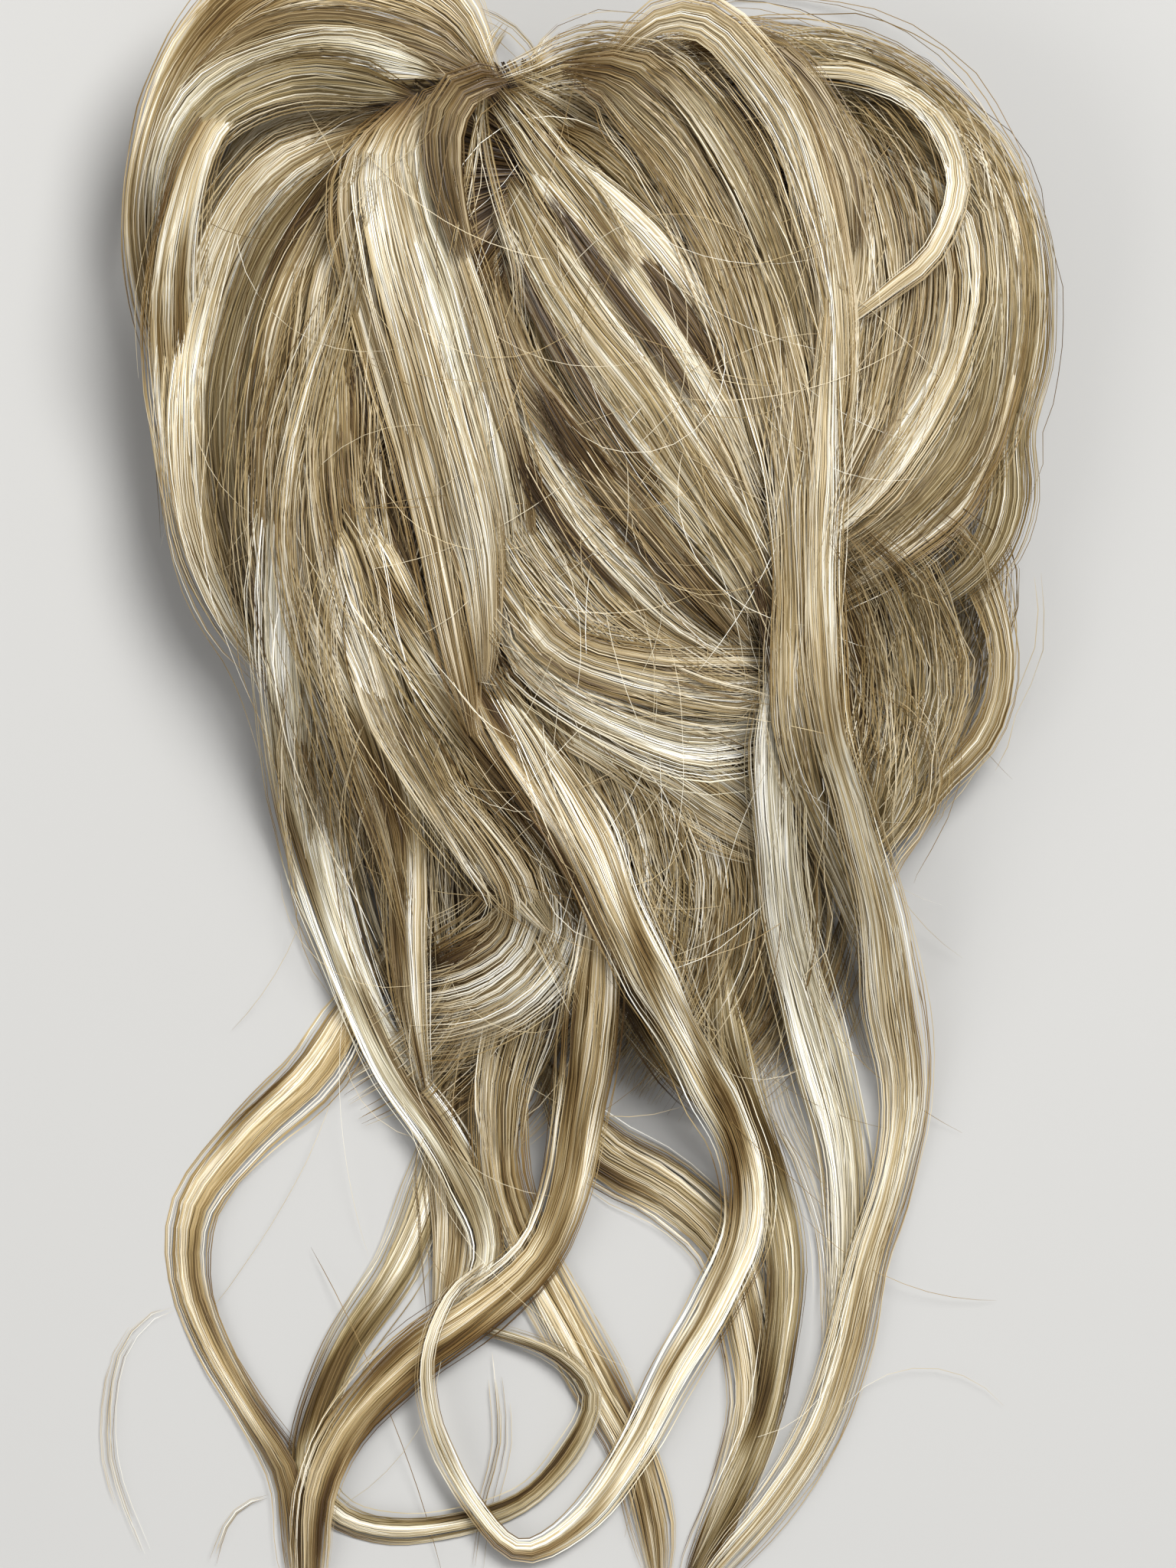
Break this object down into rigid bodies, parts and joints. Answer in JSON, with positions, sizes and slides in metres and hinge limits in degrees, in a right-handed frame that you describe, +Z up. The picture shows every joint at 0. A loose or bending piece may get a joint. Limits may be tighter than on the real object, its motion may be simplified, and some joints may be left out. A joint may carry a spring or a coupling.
{
  "type": "messy bun hairpiece",
  "caption": "Ash-blonde messy bun hairpiece on a covered elastic, with looped locks round a hollow gather and long wavy tendrils, lying face up.",
  "frame": {"origin": "under the middle of the whole hairpiece, on the surface that it lies on", "axes": "+Z up out of the bun's face, +Y towards the crown of the bun, away from the tendrils, +X to the right as the picture shows it"},
  "size_m": [0.1404, 0.2588, 0.0431],
  "materials": {
    "cream_hair": "silky cream-blonde fibre",
    "beige_hair": "silky ash-beige fibre",
    "honey_hair": "silky honey-blonde fibre",
    "olive_hair": "silky olive-ash fibre",
    "brown_hair": "silky light brown fibre",
    "inner_hair": "matted dark fibre in shade",
    "elastic_cover": "matte covered elastic"
  },
  "bodies": {
    "root": {"elastic_loop": "elastic_cover", "inner_bun": "inner_hair", "tail_pale": "beige_hair", "tail_cream": "honey_hair", "tail_left": "beige_hair", "tail_brown": "honey_hair", "tail_curl": "olive_hair", "tail_shade": "brown_hair", "under_curl": "beige_hair", "low_right_loop": "beige_hair", "low_right_lock": "olive_hair", "left_fan": "brown_hair", "right_edge": "olive_hair", "right_honey": "honey_hair", "left_outer_loop": "honey_hair", "left_upper_brown": "brown_hair", "left_cream_band": "cream_hair", "left_olive_band": "olive_hair", "left_edge_band": "olive_hair", "left_side_cream": "cream_hair", "left_side_olive": "olive_hair", "left_inner_brown": "brown_hair", "left_inner_beige": "beige_hair", "left_edge_tail": "cream_hair", "left_honey_tail": "honey_hair", "centre_grey_tail": "olive_hair", "centre_tail": "beige_hair", "middle_sweep": "beige_hair", "middle_shade": "brown_hair", "middle_bright": "cream_hair", "middle_honey": "honey_hair", "middle_beige": "beige_hair", "middle_stripe": "cream_hair", "sweep_low": "cream_hair", "sweep_bright": "cream_hair", "sweep_high": "beige_hair", "right_grey": "olive_hair", "right_bright": "cream_hair", "right_brown": "brown_hair", "right_beige": "beige_hair", "right_pale_loop": "cream_hair", "right_crown_brown": "brown_hair", "right_arch": "cream_hair", "right_roll": "beige_hair", "right_roll_edge": "olive_hair", "column_pale_tail": "cream_hair", "column_honey": "honey_hair", "column_cream_tail": "cream_hair", "cross_tail": "cream_hair", "long_tail_shade": "honey_hair", "long_tail": "cream_hair", "front_stripe": "beige_hair", "front_bright": "cream_hair", "front_honey": "honey_hair", "front_cream": "cream_hair", "gather_wrap": "brown_hair"}
  },
  "joints": []
}
